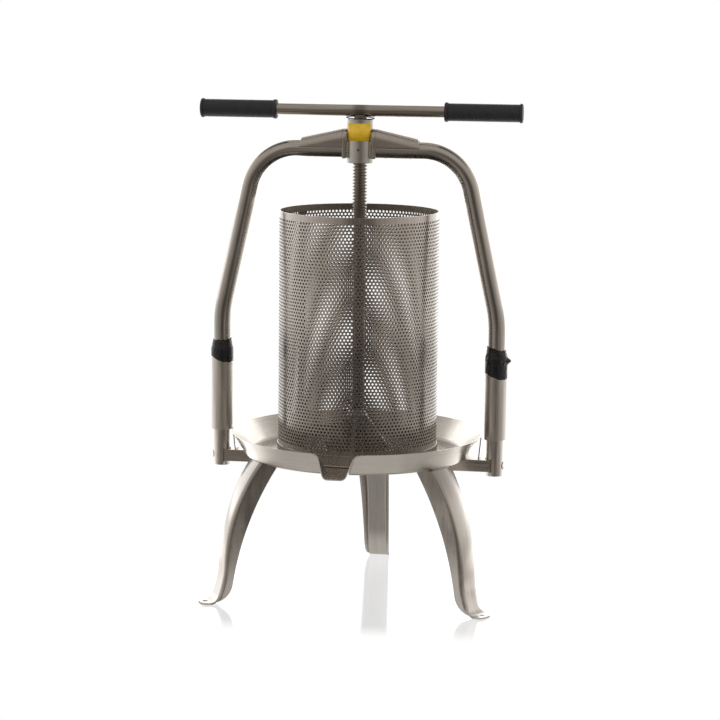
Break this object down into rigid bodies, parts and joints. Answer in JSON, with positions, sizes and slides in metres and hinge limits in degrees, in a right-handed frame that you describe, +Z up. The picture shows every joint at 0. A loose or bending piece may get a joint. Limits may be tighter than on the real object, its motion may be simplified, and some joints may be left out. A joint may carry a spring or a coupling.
{
  "type": "fruit press",
  "caption": "Screw fruit press: a perforated steel cage on a spouted tray with pressed legs, a press plate on a spindle, and a tube arch carrying the nut and a bar handle.",
  "frame": {"origin": "on the floor under the screw's axis, at the centre of the circle of foot holes", "axes": "+Z up along the screw, the spout pointing along -Y, the handle bar along X at rest"},
  "size_m": [0.404, 0.381, 0.6231],
  "materials": {
    "satin_stainless": "satin stainless sheet and tube",
    "cage_sheet": "perforated stainless sheet, rolled",
    "blasted_steel": "matt blasted stainless",
    "machined_steel": "turned and threaded steel",
    "bronze": "turned bronze",
    "black_rubber": "moulded, finely ribbed",
    "black_film": "crinkled glossy film",
    "label_film": "printed film, left bare"
  },
  "bodies": {
    "frame": {"tray": "satin_stainless", "crossbar": "satin_stainless", "post_left": "satin_stainless", "post_right": "satin_stainless", "tray_strut_left": "satin_stainless", "tray_strut_right": "satin_stainless", "leg_left": "satin_stainless", "leg_right": "satin_stainless", "leg_rear": "satin_stainless", "arch_tube_left": "satin_stainless", "arch_tube_right": "satin_stainless", "nut_housing": "blasted_steel", "spindle_nut": "bronze", "gusset_left": "satin_stainless", "gusset_right": "satin_stainless", "cheek_plate_left": "satin_stainless", "cheek_plate_right": "satin_stainless", "dust_ring": "black_rubber", "knuckle_tongue_left": "satin_stainless", "knuckle_tongue_right": "satin_stainless", "knuckle_fork_left": "satin_stainless", "knuckle_fork_right": "satin_stainless", "knuckle_pin_left": "satin_stainless", "knuckle_pin_right": "satin_stainless", "sleeve_stop_left": "satin_stainless", "sleeve_stop_right": "satin_stainless"},
    "plate": {"press_plate": "satin_stainless", "plate_hub": "satin_stainless", "plate_ribs": "satin_stainless", "retaining_pins": "satin_stainless"},
    "screw": {"spindle": "machined_steel", "handle_bar": "satin_stainless", "handle_grip_left": "black_rubber", "handle_grip_right": "black_rubber"},
    "cage": {"cage_wall": "cage_sheet", "cage_hoop": "cage_sheet", "cage_seam": "cage_sheet"},
    "sleeve_left": {"locking_sleeve_left": "satin_stainless", "sleeve_cuff_left": "black_film"},
    "sleeve_right": {"locking_sleeve_right": "satin_stainless", "sleeve_cuff_right": "black_film"}
  },
  "joints": [
    {"name": "plate_slide", "type": "slide", "parent": "frame", "child": "plate", "axis": [0, 0, 1], "range_m": [0, 0.3]},
    {"name": "screw_spin", "type": "hinge", "parent": "plate", "child": "screw", "pos_m": [0, 0, 0.611], "axis": [0, 0, 1], "range_deg": [0, 27000]},
    {"name": "cage_lift", "type": "slide", "parent": "frame", "child": "cage", "axis": [0, 0, 1], "range_m": [0, 0.05]},
    {"name": "sleeve_left_lift", "type": "slide", "parent": "frame", "child": "sleeve_left", "axis": [0, 0, 1], "range_m": [0, 0.018]},
    {"name": "sleeve_right_lift", "type": "slide", "parent": "frame", "child": "sleeve_right", "axis": [0, 0, 1], "range_m": [0, 0.018]}
  ],
  "couplings": [
    {"joint": "plate_slide", "follows": "screw_spin", "m_per_rad": 0.00063662}
  ]
}
